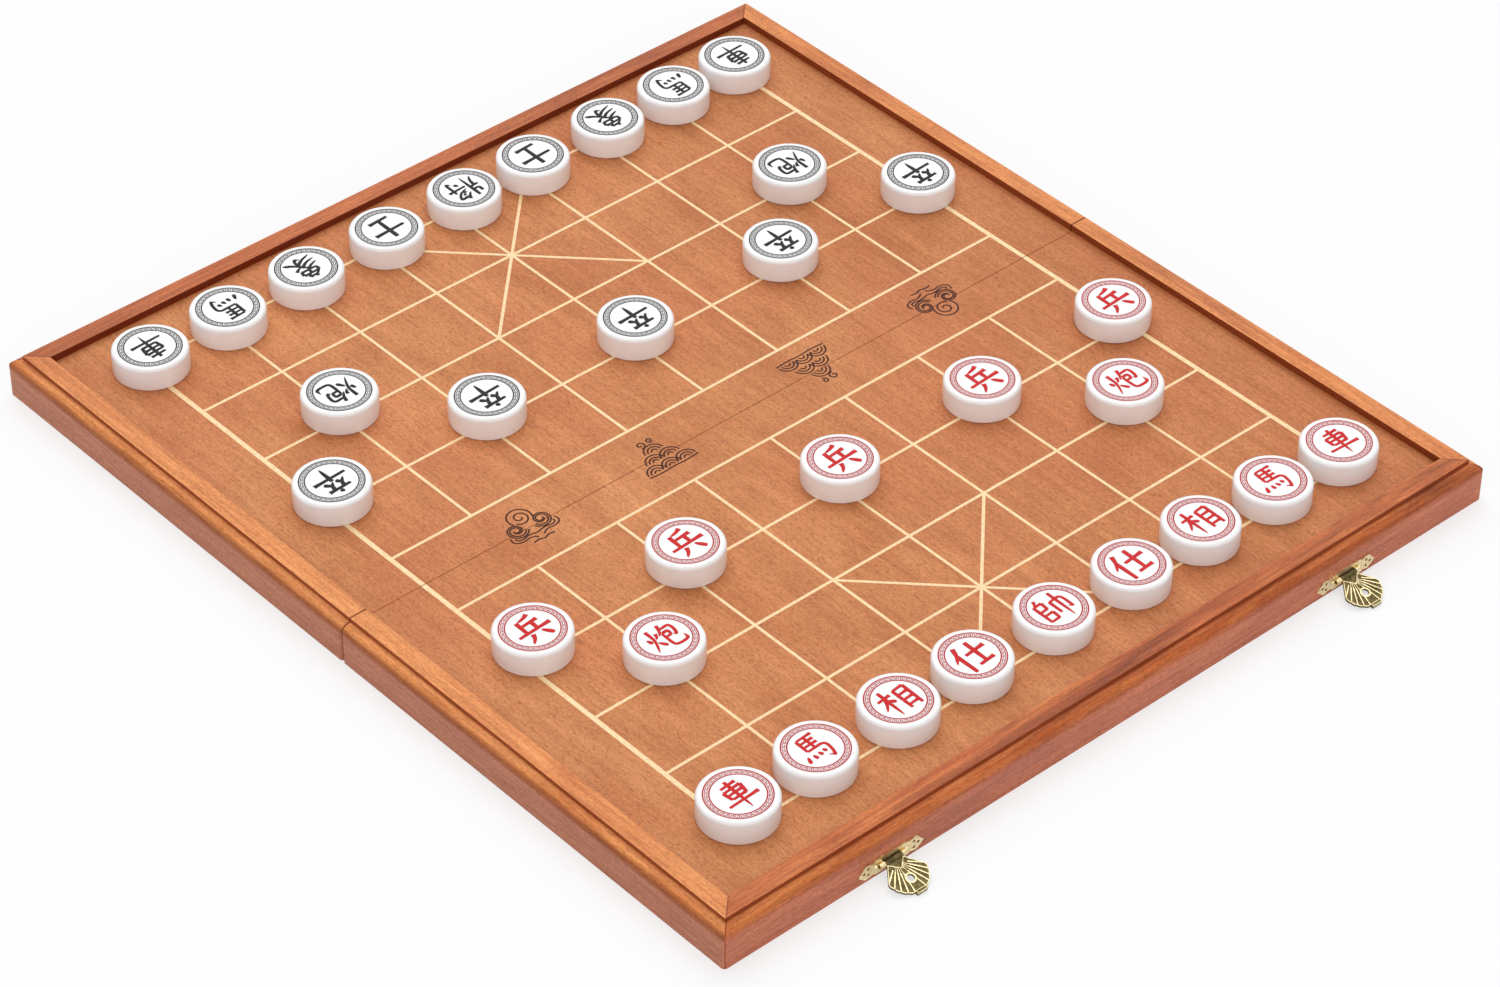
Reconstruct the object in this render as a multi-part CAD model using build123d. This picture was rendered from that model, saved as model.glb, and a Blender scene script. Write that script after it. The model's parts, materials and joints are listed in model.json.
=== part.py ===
from build123d import *
import math
import os

# A folding xiangqi board box, opened flat as the board with its pieces set out for a game.
# Millimetres. +X runs along the front (hasp) edge, +Y from the front tray to the back tray, +Z up.
# Everything is built about the middle of the seam, with z = 0 at the undersides of the rails.
# At the end the whole set is moved so that its origin is the middle of its footprint at its lowest point.

# ---- board layout ----
column_pitch = 36.0  # between neighbouring lines, across
rank_pitch = 36.5  # between neighbouring lines, front to back
side_margin = 24.6  # outermost line to the inner wall of a side rail
end_margin = 22.65  # outermost line to the inner wall of an end rail
columns = 9
ranks_per_side = 5
inner_line = 1.2  # line widths
side_line = 1.9
line_rise = 0.1  # thickness of the cream paint of the lines

# ---- rails and panels ----
tray_height = 17.4
rail_width = 11.4
rim_rise = 3.2  # top of the rim above the playing surface
step_inset = 4.2  # riser of the step, in from the outer face
step_rise = 1.7
outer_round = 4.0  # quarter round under the step
corner_round = 1.5  # upright outer corners
seam_ease = 0.9  # upright outer arris of a side rail at the seam
panel_thickness = 3.0
panel_tongue = 4.0  # how far the panel reaches into the rails
tongue_clearance = 0.05
seam_gap = 0.3
seam_rail_width = 9.0

# ---- butt hinges on the seam ----
hinge_from_side = 70.0  # hinge middle to the outer face of the side rail
hinge_length = 20.0
hinge_leaf_reach = 7.4  # pivot to the far edge of a leaf
hinge_leaf_thickness = 0.8
hinge_barrel_radius = 1.2
hinge_pin_radius = 0.6
pivot_drop = 0.15  # pivot below the rails, so that the closed rails don't bind
running_clearance = 0.04  # pin in bore
knuckle_clearance = 0.1  # between neighbouring knuckles
barrel_clearance = 0.25  # between a barrel and the wood or leaf beside it
screw_spacing = 12.0
screw_head_radius = 1.6
screw_shank_radius = 0.7
screw_length = 6.0

# ---- hasps on the front rail ----
hasp_from_side = 71.8  # hasp middle to the outer face of the side rail
hasp_plate_length = 28.9
hasp_plate_height = 6.1
hasp_plate_middle = 4.85  # above the underside of the rail
hasp_plate_thickness = 0.8
hasp_pivot_height = 4.85  # above the underside of the rail
hasp_barrel_radius = 1.2
hasp_barrel_length = 11.8
hasp_pin_radius = 0.55
hasp_knuckle_length = 7.3  # the flap's own knuckle
hasp_stand_off = 0.3  # barrel clear of the rail
hasp_shoulder = 6.5  # where the plain middle of the plate ends
nail_from_middle = 6.7
leaf_dip = 0.7  # the dip between the plain middle and a leaf end
leaf_dip_run = 1.8
leaf_tip_drop = 0.45  # a leaf's tip is a little below its middle
piercing = 1.0  # diamond holes in the leaf ends
piercing_spread = 1.25

# ---- hasp flap, a ribbed fan ----
flap_thickness = 0.8
flap_tilt = 17.0  # below level when the flap lies out on the table
fan_radius = 8.05
fan_centre = 6.3  # out from the pivot
fan_scallops = 4  # on each side of the lip
fan_first_angle = 5.0
fan_last_angle = 73.0
scallop_bulge = 0.35
lip_reach = 1.2
lip_rise = 0.7
lip_end_share = 0.9  # width of the lip's end as a share of its root
rib_start = 0.4  # where the ribs start and end, as shares of the way from the neck to the edge
rib_end = 0.97
rib_width = 0.4
rib_rise = 0.25
catch_reach = 8.9  # pivot to the middle of the snap hole
catch_hole_radius = 1.5
catch_rim = 0.5

# ---- strike plates on the back rail ----
strike_length = 22.0
strike_height = 6.4
strike_thickness = 0.8
strike_shoulder = 5.1
strike_nail_from_tip = 1.9  # the nails stand clear of the flap, one each side
knob_radius = 1.15
knob_head_radius = 1.3
knob_top_radius = 0.8
knob_undercut = 0.2  # height of the slope under the head
knob_height = 2.6  # above the rail's face

# ---- nails ----
nail_head_radius = 0.85
nail_crown_radius = 0.5
nail_head_height = 0.5
nail_shank_radius = 0.4
nail_length = 5.0

# ---- game pieces ----
piece_diameter = 28.5
piece_height = 9.5
piece_edge = 0.9  # eased top edge

# ---- flats that stand for the round of what repeats or is small ----
piece_flat_count = 30  # 0.08 mm from the true circle
barrel_flat_count = 16
pin_flat_count = 12
nail_flat_count = 8
past = 2.0  # how far a cutter runs past the faces it cuts

# ---- worked out from the above ----
half_width = (columns - 1) / 2 * column_pitch + side_margin + rail_width
half_length = (ranks_per_side - 0.5) * rank_pitch + end_margin + rail_width
panel_top = tray_height - rim_rise
panel_under = panel_top - panel_thickness
seam_half = seam_gap / 2
hinge_x = half_width - hinge_from_side
hasp_x = half_width - hasp_from_side
hasp_pivot_off = hasp_stand_off + hasp_barrel_radius
knob_z = catch_reach - hasp_pivot_height - 2 * pivot_drop
strike_nail_off = strike_length / 2 - strike_nail_from_tip


def box_between(x0, x1, y0, y1, z0, z1):
    middle = ((x0 + x1) / 2, (y0 + y1) / 2, (z0 + z1) / 2)
    return Pos(*middle) * Box(x1 - x0, y1 - y0, z1 - z0)


def bar(radius, length, x, y, z, flats):
    """A bar along X, by its middle, with flats for its round."""
    return Pos(x, y, z) * Rot(0, 90, 0) * extrude(RegularPolygon(radius, flats), length / 2, both=True)


def bore(radius, length, x, y, z, flats):
    """As a bar, but its flats lie outside the radius, so that a pin of that radius turns in it."""
    outline = RegularPolygon(radius, flats, major_radius=False)
    return Pos(x, y, z) * Rot(0, 90, 0) * extrude(outline, length / 2, both=True)


def turned(sections, flats):
    """A shape turned about Z, given as (radius, z), with flats for its round."""
    return loft([Pos(0, 0, z) * RegularPolygon(radius, flats) for radius, z in sections], ruled=True)


def joined(shapes):
    total = shapes[0]
    for shape in shapes[1:]:
        total += shape
    return total


def group(solids):
    return Compound(children=solids)


# ---- wood ----


def rail_section():
    """Section of a rail, from its outer face inwards: quarter round, step, flat top, panel groove."""
    step_foot = tray_height - step_rise
    groove_low = panel_under - tongue_clearance
    groove_high = panel_top + tongue_clearance
    groove_end = rail_width - panel_tongue - tongue_clearance
    with BuildSketch() as section:
        with BuildLine():
            Line((0, 0), (0, step_foot - outer_round))
            RadiusArc((0, step_foot - outer_round), (outer_round, step_foot), outer_round)
            Polyline(
                (outer_round, step_foot),
                (step_inset, step_foot),
                (step_inset, tray_height),
                (rail_width, tray_height),
                (rail_width, groove_high),
                (groove_end, groove_high),
                (groove_end, groove_low),
                (rail_width, groove_low),
                (rail_width, 0),
                (0, 0),
            )
        make_face()
    return section.sketch


def cut_to_plan(length, corners):
    """A length of rail trimmed to its outline seen from above, with the box's rounded outer corners."""
    footprint = RectangleRounded(2 * half_width, 2 * half_length, corner_round)
    plan = make_face(Polyline(*corners, close=True)) & footprint
    return length & extrude(plan, tray_height)


def end_rail():
    length = extrude(Plane.YZ * rail_section(), half_width, both=True)
    length = Pos(0, -half_length, 0) * length
    inner_x, inner_y = half_width - rail_width, half_length - rail_width
    mitred = [
        (-half_width, -half_length),
        (half_width, -half_length),
        (inner_x, -inner_y),
        (-inner_x, -inner_y),
    ]
    return cut_to_plan(length, mitred)


def left_rail():
    length = extrude(Plane.XZ * rail_section(), half_length)
    length = Pos(-half_width, 0, 0) * length
    inner_x, inner_y = half_width - rail_width, half_length - rail_width
    mitred = [
        (-half_width, -half_length),
        (-inner_x, -inner_y),
        (-inner_x, -seam_half),
        (-half_width + seam_ease, -seam_half),
        (-half_width, -seam_half - seam_ease),
    ]
    return cut_to_plan(length, mitred)


def seam_rail():
    """Plain rail under the panel along the fold, let in for the hinges and coved round their barrels."""
    inner_x = half_width - rail_width
    rail = box_between(-inner_x, inner_x, -seam_half - seam_rail_width, -seam_half, 0, panel_under)
    for x in (-hinge_x, hinge_x):
        rail -= hinge_recess(x)
    return rail


def hinge_recess(x):
    end = hinge_length / 2 + knuckle_clearance
    far = -hinge_leaf_reach - knuckle_clearance
    mortise = box_between(x - end, x + end, far, 0, 0, hinge_leaf_thickness)
    cove_radius = hinge_barrel_radius + barrel_clearance
    return mortise + bore(cove_radius, 2 * end, x, 0, -pivot_drop, barrel_flat_count)


def board_panel():
    reach_x = half_width - rail_width + panel_tongue
    reach_y = half_length - rail_width + panel_tongue
    return box_between(-reach_x, reach_x, -reach_y, -seam_half, panel_under, panel_top)


def column_x(column):
    return (column - (columns - 1) / 2) * column_pitch


def rank_y(rank):
    """Rank 0 is the front tray's edge line; the seam lies between ranks 4 and 5."""
    return (rank - ranks_per_side + 0.5) * rank_pitch


def line_layer():
    """Painted grid of the front tray: columns, ranks and the crossed palace."""
    edge_y, bank_y = rank_y(0), rank_y(ranks_per_side - 1)
    last = columns - 1
    side_x = column_x(last) + side_line / 2
    strokes = []
    for rank in range(ranks_per_side):
        strokes.append(Pos(0, rank_y(rank)) * Rectangle(2 * side_x, inner_line))
    for column in range(1, last):
        length = bank_y - edge_y + inner_line
        strokes.append(Pos(column_x(column), (edge_y + bank_y) / 2) * Rectangle(inner_line, length))
    for column in (0, last):
        length = -seam_half - edge_y + inner_line / 2
        middle = edge_y - inner_line / 2 + length / 2
        strokes.append(Pos(column_x(column), middle) * Rectangle(side_line, length))
    diagonal = math.hypot(2 * column_pitch, 2 * rank_pitch)
    slope = math.degrees(math.atan2(rank_pitch, column_pitch))
    for turn in (slope, -slope):
        strokes.append(Pos(0, rank_y(1)) * Rot(0, 0, turn) * Rectangle(diagonal, inner_line))
    return Pos(0, 0, panel_top) * extrude(joined(strokes), line_rise)


# ---- hinges ----


def knuckle_span(index):
    """Start and end of one of a hinge's three knuckles, from the hinge's middle."""
    pitch = hinge_length / 3
    start = -hinge_length / 2 + index * pitch
    return start + knuckle_clearance / 2, start + pitch - knuckle_clearance / 2


def hinge_leaf(x, side, knuckles):
    """One leaf, flush in its seam rail, with its own knuckles. side is -1 for the front, 1 for the back."""
    clear = hinge_barrel_radius + barrel_clearance
    end = hinge_length / 2
    near, far = sorted((side * clear, side * hinge_leaf_reach))
    leaf = box_between(x - end, x + end, near, far, 0, hinge_leaf_thickness)
    for index in knuckles:
        start, stop = knuckle_span(index)
        root_near, root_far = sorted((0, side * clear))
        leaf += box_between(x + start, x + stop, root_near, root_far, 0, hinge_leaf_thickness)
        middle = x + (start + stop) / 2
        leaf += bar(hinge_barrel_radius, stop - start, middle, 0, -pivot_drop, barrel_flat_count)
    bore_radius = hinge_pin_radius + running_clearance
    leaf -= bore(bore_radius, hinge_length + past, x, 0, -pivot_drop, pin_flat_count)
    for place in screw_places(x, side):
        leaf -= place * countersink(running_clearance)
    return leaf


def screw_places(x, side):
    y = side * (hinge_barrel_radius + barrel_clearance + hinge_leaf_reach) / 2
    return [Pos(x + dx, y, 0) for dx in (-screw_spacing / 2, screw_spacing / 2)]


def countersink(grow):
    """A screw's hole in a leaf, tapered from z = 0 to the top of the leaf."""
    sections = [(screw_head_radius + grow, 0), (screw_shank_radius + grow, hinge_leaf_thickness)]
    return turned(sections, nail_flat_count)


def screw():
    """Countersunk wood screw, head down at z = 0."""
    head_end = (screw_shank_radius, hinge_leaf_thickness)
    return turned([(screw_head_radius, 0), head_end, (screw_shank_radius, screw_length)], nail_flat_count)


def hinge_screws(side):
    places = screw_places(-hinge_x, side) + screw_places(hinge_x, side)
    return group([place * screw() for place in places])


# ---- hasps ----


def leaf_plate(length, height, shoulder, thickness):
    """Stamped plate with a plain middle and a pointed leaf at each end, flat on Z = 0."""
    half, up = length / 2, height / 2
    dip_x = shoulder + leaf_dip_run
    swell_x = (dip_x + half) / 2
    upper = [(shoulder, up), (dip_x, up - leaf_dip), (swell_x, up)]
    right = upper + [(half, -leaf_tip_drop)] + [(x, -y) for x, y in reversed(upper)]
    outline = right + [(-x, y) for x, y in reversed(right)]
    return extrude(make_face(Polyline(*outline, close=True)), thickness)


def leaf_piercings():
    """Three diamond holes for each leaf end of a hasp plate."""
    swell_x = (hasp_shoulder + leaf_dip_run + hasp_plate_length / 2) / 2
    hole = extrude(Rot(0, 0, 45) * Rectangle(piercing, piercing), hasp_plate_thickness)
    holes = []
    for side in (-1, 1):
        holes.append(Pos(side * (swell_x + piercing_spread / 2), 0, 0) * hole)
        for up in (-piercing_spread, piercing_spread):
            holes.append(Pos(side * (swell_x - piercing_spread), up, 0) * hole)
    return holes


def nail_hole():
    radius = nail_shank_radius + running_clearance
    return turned([(radius, -past), (radius, past)], nail_flat_count)


def hasp_plate(x):
    """Plate on the front rail's face, with a knuckle each side of the flap's own."""
    face = Plane(origin=(x, -half_length, hasp_plate_middle), x_dir=(1, 0, 0), z_dir=(0, -1, 0))
    plate = face * leaf_plate(hasp_plate_length, hasp_plate_height, hasp_shoulder, hasp_plate_thickness)
    for hole in leaf_piercings():
        plate -= face * hole
    pivot_y, pivot_z = -half_length - hasp_pivot_off, hasp_pivot_height
    gap = hasp_knuckle_length / 2 + knuckle_clearance
    end = hasp_barrel_length / 2
    notch_low = hasp_plate_middle - hasp_plate_height
    notch_high = pivot_z + hasp_barrel_radius + barrel_clearance
    plate -= box_between(x - gap, x + gap, -half_length - past, -half_length, notch_low, notch_high)
    for start, stop in ((-end, -gap), (gap, end)):
        middle = x + (start + stop) / 2
        plate += bar(hasp_barrel_radius, stop - start, middle, pivot_y, pivot_z, barrel_flat_count)
        foot_low = pivot_z - hasp_barrel_radius
        plate += box_between(x + start, x + stop, pivot_y, -half_length, foot_low, pivot_z)
    bore_radius = hasp_pin_radius + running_clearance
    plate -= bore(bore_radius, hasp_barrel_length + past, x, pivot_y, pivot_z, pin_flat_count)
    for nail_x in nail_columns(x):
        plate -= nail_place(nail_x) * nail_hole()
    return plate


def nail_columns(x):
    return [x - nail_from_middle, x + nail_from_middle]


def nail_place(x):
    """Where a nail stands on the front rail's face, its axis out of the face."""
    origin = (x, -half_length, hasp_plate_middle)
    return Plane(origin=origin, x_dir=(1, 0, 0), z_dir=(0, -1, 0)).location


def nail(plate_thickness):
    """Small round-headed nail through a plate that lies on z = 0."""
    top = plate_thickness
    shank = turned([(nail_shank_radius, top - nail_length), (nail_shank_radius, top)], nail_flat_count)
    head = turned([(nail_head_radius, top), (nail_crown_radius, top + nail_head_height)], nail_flat_count)
    return shank + head


def hasp_nails():
    places = [nail_place(nail_x) for x in (-hasp_x, hasp_x) for nail_x in nail_columns(x)]
    return group([place * nail(hasp_plate_thickness) for place in places])


def fan_knots():
    """Where the scallops of one side meet, from the widest point of the fan to the lip."""
    step = (fan_last_angle - fan_first_angle) / fan_scallops
    angles = [math.radians(fan_first_angle + step * i) for i in range(fan_scallops + 1)]
    return [(fan_radius * math.cos(a), fan_centre + fan_radius * math.sin(a)) for a in angles]


def scallop(start, stop):
    """Arc between two knots that bulges out from the fan's centre."""
    mx, my = (start[0] + stop[0]) / 2, (start[1] + stop[1]) / 2
    out = math.hypot(mx, my - fan_centre)
    grow = 1 + scallop_bulge / out
    return ThreePointArc(start, (mx * grow, fan_centre + (my - fan_centre) * grow), stop)


def fan_outline():
    """Neck, one side's scallops, the lip and the other side's scallops."""
    knots = fan_knots()
    neck = hasp_knuckle_length / 2
    root_x, root_y = knots[-1]
    right = [(neck, 0), (neck, hasp_barrel_radius)] + knots
    lip = [(root_x * lip_end_share, root_y + lip_reach), (-root_x * lip_end_share, root_y + lip_reach)]
    left = [(-x, y) for x, y in reversed(right)]
    points = right + lip + left
    edges = []
    for a, b in zip(points, points[1:] + points[:1]):
        mirrored = ((-a[0], a[1]), (-b[0], b[1]))
        scalloped = (a in knots and b in knots) or (mirrored[0] in knots and mirrored[1] in knots)
        edges.append(scallop(a, b) if scalloped else Line(a, b))
    return make_face(Wire(edges))


def rib(start, stop):
    length = math.dist(start, stop)
    turn = math.degrees(math.atan2(stop[1] - start[1], stop[0] - start[0]))
    middle = ((start[0] + stop[0]) / 2, (start[1] + stop[1]) / 2)
    place = Pos(*middle, flap_thickness / 2 + rib_rise / 2) * Rot(0, 0, turn)
    return place * Box(length, rib_width, rib_rise)


def flat_flap():
    """The flap in its own plane: pivot along X through the origin, fan out along +Y, ribbed face up."""
    face = flap_thickness / 2
    flap = Pos(0, 0, -face) * extrude(fan_outline(), flap_thickness)
    knots = fan_knots()
    root_x, root_y = knots[-1]
    for x, y in knots:
        out = y - hasp_barrel_radius
        for side in (-1, 1):
            start = (side * x * rib_start, hasp_barrel_radius + out * rib_start)
            stop = (side * x * rib_end, hasp_barrel_radius + out * rib_end)
            flap += rib(start, stop)
    lip_half = root_x * lip_end_share
    flap += box_between(-lip_half, lip_half, root_y, root_y + lip_reach, 0, face + lip_rise)
    catch = Pos(0, catch_reach, 0)
    rim_radius = catch_hole_radius + catch_rim
    flap += catch * turned([(rim_radius, 0), (rim_radius, face + rib_rise)], barrel_flat_count)
    flap += bar(hasp_barrel_radius, hasp_knuckle_length, 0, 0, 0, barrel_flat_count)
    flap -= catch * turned([(catch_hole_radius, -past), (catch_hole_radius, past)], barrel_flat_count)
    flap -= bore(hasp_pin_radius + running_clearance, hasp_knuckle_length + past, 0, 0, 0, pin_flat_count)
    return flap


def hasp_flap(x):
    """The flap lying out on the table: its own +Y turned to point forward and a little down."""
    turned = Rot(flap_tilt, 0, 0) * Rot(0, 0, 180) * flat_flap()
    return Pos(x, -half_length - hasp_pivot_off, hasp_pivot_height) * turned


def hasp_pin(x):
    y = -half_length - hasp_pivot_off
    return bar(hasp_pin_radius, hasp_barrel_length, x, y, hasp_pivot_height, pin_flat_count)


# ---- strike plates ----


def strike_place(x):
    return Plane(origin=(x, half_length, knob_z), x_dir=(-1, 0, 0), z_dir=(0, 1, 0)).location


def strike_plate(x):
    """Plate on the back rail with the snap knob that passes through the flap when the box is shut."""
    plate = leaf_plate(strike_length, strike_height, strike_shoulder, strike_thickness)
    for dx in (-strike_nail_off, strike_nail_off):
        plate -= Pos(dx, 0, 0) * nail_hole()
    neck_top = strike_thickness + flap_thickness + hasp_stand_off
    neck = [(knob_radius, 0), (knob_radius, neck_top - knob_undercut)]
    plate += turned(neck + [(knob_head_radius, neck_top), (knob_top_radius, knob_height)], pin_flat_count)
    return strike_place(x) * plate


def strike_nails():
    places = []
    for x in (-hasp_x, hasp_x):
        for dx in (-strike_nail_off, strike_nail_off):
            places.append(strike_place(x) * Pos(dx, 0, 0))
    return group([place * nail(strike_thickness) for place in places])


# ---- game pieces ----

# column, rank and how far the piece stands off its crossing, as it was set down by hand
red_places = {
    "chariot_left": (0, 0, 5.0, 5.7),
    "horse_left": (1, 0, 2.9, 5.6),
    "elephant_left": (2, 0, 3.5, 5.1),
    "advisor_left": (3, 0, 1.3, 4.8),
    "general": (4, 0, 3.2, 4.5),
    "advisor_right": (5, 0, 3.7, 3.7),
    "elephant_right": (6, 0, 2.4, 4.4),
    "horse_right": (7, 0, 1.5, 3.2),
    "chariot_right": (8, 0, -1.4, 2.7),
    "cannon_left": (1, 2, 1.5, 7.2),
    "cannon_right": (7, 2, 2.1, 4.4),
    "soldier_1": (0, 3, 7.1, 3.7),
    "soldier_2": (2, 3, 3.8, 4.0),
    "soldier_3": (4, 3, 3.1, 3.0),
    "soldier_4": (6, 3, 0.3, 2.8),
    "soldier_5": (8, 3, -2.9, 5.0),
}
black_places = {
    "soldier_1": (0, 6, 4.3, 1.6),
    "soldier_2": (2, 6, 3.7, 3.3),
    "soldier_3": (4, 6, 1.9, 3.6),
    "soldier_4": (6, 6, 1.8, 4.2),
    "soldier_5": (8, 6, -1.9, 1.9),
    "cannon_left": (1, 7, 1.7, 4.0),
    "cannon_right": (7, 7, 1.0, 1.9),
    "chariot_left": (0, 9, 1.9, -3.2),
    "horse_left": (1, 9, 1.3, -2.7),
    "elephant_left": (2, 9, 1.8, -2.3),
    "advisor_left": (3, 9, 3.7, -2.2),
    "general": (4, 9, 5.2, -1.9),
    "advisor_right": (5, 9, 3.1, -1.8),
    "elephant_right": (6, 9, 4.5, -1.8),
    "horse_right": (7, 9, 2.2, -1.7),
    "chariot_right": (8, 9, -2.1, -1.8),
}


def game_piece():
    """A flat round disc with an eased top edge."""
    disc = extrude(RegularPolygon(piece_diameter / 2, piece_flat_count), piece_height)
    return chamfer(disc.faces().sort_by(Axis.Z)[-1].edges(), piece_edge)


def set_of_pieces():
    disc = game_piece()
    pieces = {}
    for colour, places in (("red", red_places), ("black", black_places)):
        for rank_name, (column, rank, dx, dy) in places.items():
            spot = Pos(column_x(column) + dx, rank_y(rank) + dy, panel_top + line_rise)
            pieces[f"{colour}_{rank_name}"] = spot * disc
    return pieces


# ---- the whole box ----


def tray(name, turn):
    """The six wooden and painted parts of one tray. The back tray is the front one, turned round."""
    rail = left_rail()
    parts = {
        "end_rail": end_rail(),
        "left_rail": rail,
        "right_rail": mirror(rail, about=Plane.YZ),
        "seam_rail": seam_rail(),
        "board_panel": board_panel(),
        "line_layer": line_layer(),
    }
    if turn:
        parts = {part: mirror(shape, about=Plane.XZ) for part, shape in parts.items()}
    return {f"{name}_{part}": shape for part, shape in parts.items()}


def hinges():
    both = (-hinge_x, hinge_x)
    pins = [bar(hinge_pin_radius, hinge_length, x, 0, -pivot_drop, pin_flat_count) for x in both]
    return {
        "hinge_leaves_front": group([hinge_leaf(x, -1, (0, 2)) for x in both]),
        "hinge_leaves_back": group([hinge_leaf(x, 1, (1,)) for x in both]),
        "hinge_pins": group(pins),
        "hinge_screws_front": hinge_screws(-1),
        "hinge_screws_back": hinge_screws(1),
    }


def hasps():
    parts = {"hasp_nails": hasp_nails(), "strike_nails": strike_nails()}
    for name, x in (("left", -hasp_x), ("right", hasp_x)):
        parts[f"hasp_plate_{name}"] = hasp_plate(x)
        parts[f"hasp_flap_{name}"] = hasp_flap(x)
        parts[f"hasp_pin_{name}"] = hasp_pin(x)
        parts[f"strike_plate_{name}"] = strike_plate(x)
    return parts


nodes = {**tray("front", False), **tray("back", True), **hinges(), **hasps(), **set_of_pieces()}

# the origin goes to the middle of the footprint, at the lowest point
low_x = min(shape.bounding_box().min.X for shape in nodes.values())
high_x = max(shape.bounding_box().max.X for shape in nodes.values())
low_y = min(shape.bounding_box().min.Y for shape in nodes.values())
high_y = max(shape.bounding_box().max.Y for shape in nodes.values())
low_z = min(shape.bounding_box().min.Z for shape in nodes.values())
shift = Pos(-(low_x + high_x) / 2, -(low_y + high_y) / 2, -low_z)

os.makedirs("parts", exist_ok=True)
for name, shape in nodes.items():
    export_step(shift * shape, f"parts/{name}.step")

at = shift.position
print(len(nodes), "nodes; seam at y", round(at.Y, 4), "rails stand at z", round(at.Z, 4))
print("fold pivot z", round(at.Z - pivot_drop, 4))
print("hasp pivots x +-", hasp_x, "y", round(at.Y - half_length - hasp_pivot_off, 4))
print("hasp pivot z", round(at.Z + hasp_pivot_height, 4))
print("outer size", 2 * half_width, 2 * half_length, "front face y", round(at.Y - half_length, 4))
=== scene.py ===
# Xiangqi board box, opened out flat as the board, with its 32 pieces set up for a game
import json
import math
import bpy
from mathutils import Matrix, Vector


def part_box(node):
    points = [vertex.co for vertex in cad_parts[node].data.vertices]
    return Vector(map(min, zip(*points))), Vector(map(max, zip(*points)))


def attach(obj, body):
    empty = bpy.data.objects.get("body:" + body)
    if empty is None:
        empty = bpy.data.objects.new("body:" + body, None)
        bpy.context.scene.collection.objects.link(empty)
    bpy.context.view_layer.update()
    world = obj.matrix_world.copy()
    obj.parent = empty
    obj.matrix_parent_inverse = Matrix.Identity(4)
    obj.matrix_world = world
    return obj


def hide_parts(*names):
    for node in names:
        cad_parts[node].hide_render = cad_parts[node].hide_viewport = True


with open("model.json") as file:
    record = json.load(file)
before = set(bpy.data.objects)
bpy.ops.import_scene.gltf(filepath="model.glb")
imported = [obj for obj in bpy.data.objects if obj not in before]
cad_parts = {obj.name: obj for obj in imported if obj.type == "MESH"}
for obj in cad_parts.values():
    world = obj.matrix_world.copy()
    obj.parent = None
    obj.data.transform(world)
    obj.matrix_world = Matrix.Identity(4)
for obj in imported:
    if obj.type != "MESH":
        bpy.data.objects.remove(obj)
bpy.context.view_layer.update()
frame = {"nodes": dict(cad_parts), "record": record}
nodes = frame["nodes"]
mm = 0.001
seamY = (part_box("front_board_panel")[1].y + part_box("back_board_panel")[0].y) / 2
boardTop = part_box("front_board_panel")[1].z


def paint(red, green, blue):
    # a colour as read off a picture, 0 to 255, made linear
    def linear(value):
        value = value / 255
        return value / 12.92 if value <= 0.04045 else ((value + 0.055) / 1.055) ** 2.4
    return (linear(red), linear(green), linear(blue), 1)


def give(tree, socket, given):
    # a socket takes another node's output or a plain value
    if isinstance(given, bpy.types.NodeSocket):
        tree.links.new(given, socket)
    else:
        socket.default_value = given


def mathNode(tree, way, first, second=0.0):
    node = tree.nodes.new("ShaderNodeMath")
    node.operation = way
    give(tree, node.inputs[0], first)
    give(tree, node.inputs[1], second)
    return node.outputs[0]


def product(tree, first, second):
    return mathNode(tree, "MULTIPLY", first, second)


def seenOrMirrored(tree):
    # 1 where the camera looks straight at it or sees it in a gloss or through a clear part
    rays = tree.nodes.new("ShaderNodeLightPath")
    either = mathNode(tree, "MAXIMUM", rays.outputs["Is Camera Ray"], rays.outputs["Is Glossy Ray"])
    return mathNode(tree, "MAXIMUM", either, rays.outputs["Is Transmission Ray"])


cameraSetup = {
    "place": (-0.896353, seamY - 1.0147645, 1.088761),
    "turnDegrees": (50.6501, -0.199, -41.5004),
    "lens": 115.08,
    "sensor": 36,
    "clip": (0.05, 60),  # nearest and farthest, in metres
}


def placeCamera(setup):
    turn = [math.radians(angle) for angle in setup["turnDegrees"]]
    bpy.ops.object.camera_add(location=setup["place"], rotation=turn)
    camera = bpy.context.object
    camera.name = "boardCamera"
    camera.data.sensor_width = setup["sensor"]
    camera.data.lens = setup["lens"]
    camera.data.clip_start, camera.data.clip_end = setup["clip"]
    bpy.context.scene.camera = camera


floorSetup = {
    "size": 14,  # metres across
    "height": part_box("front_end_rail")[0].z,  # the rails stand on it
    "colour": (0.96, 0.96, 0.97, 1),
    "whiteShare": 0.66,  # how far the camera sees plain white in place of the lit floor
}


def layFloor(setup):
    bpy.ops.mesh.primitive_plane_add(size=setup["size"], location=(0, 0, setup["height"]))
    floor = bpy.context.object
    floor.name = "studioFloor"
    finish = bpy.data.materials.new("studioFloorPaper")
    finish.use_nodes = True
    tree = finish.node_tree
    tree.nodes.clear()
    out = tree.nodes.new("ShaderNodeOutputMaterial")
    blend = tree.nodes.new("ShaderNodeMixShader")
    paper = tree.nodes.new("ShaderNodeBsdfDiffuse")
    paper.inputs["Color"].default_value = setup["colour"]
    glow = tree.nodes.new("ShaderNodeEmission")
    glow.inputs["Strength"].default_value = 1
    tree.links.new(product(tree, seenOrMirrored(tree), setup["whiteShare"]), blend.inputs[0])
    tree.links.new(paper.outputs[0], blend.inputs[1])
    tree.links.new(glow.outputs[0], blend.inputs[2])
    tree.links.new(blend.outputs[0], out.inputs["Surface"])
    floor.data.materials.append(finish)


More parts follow.
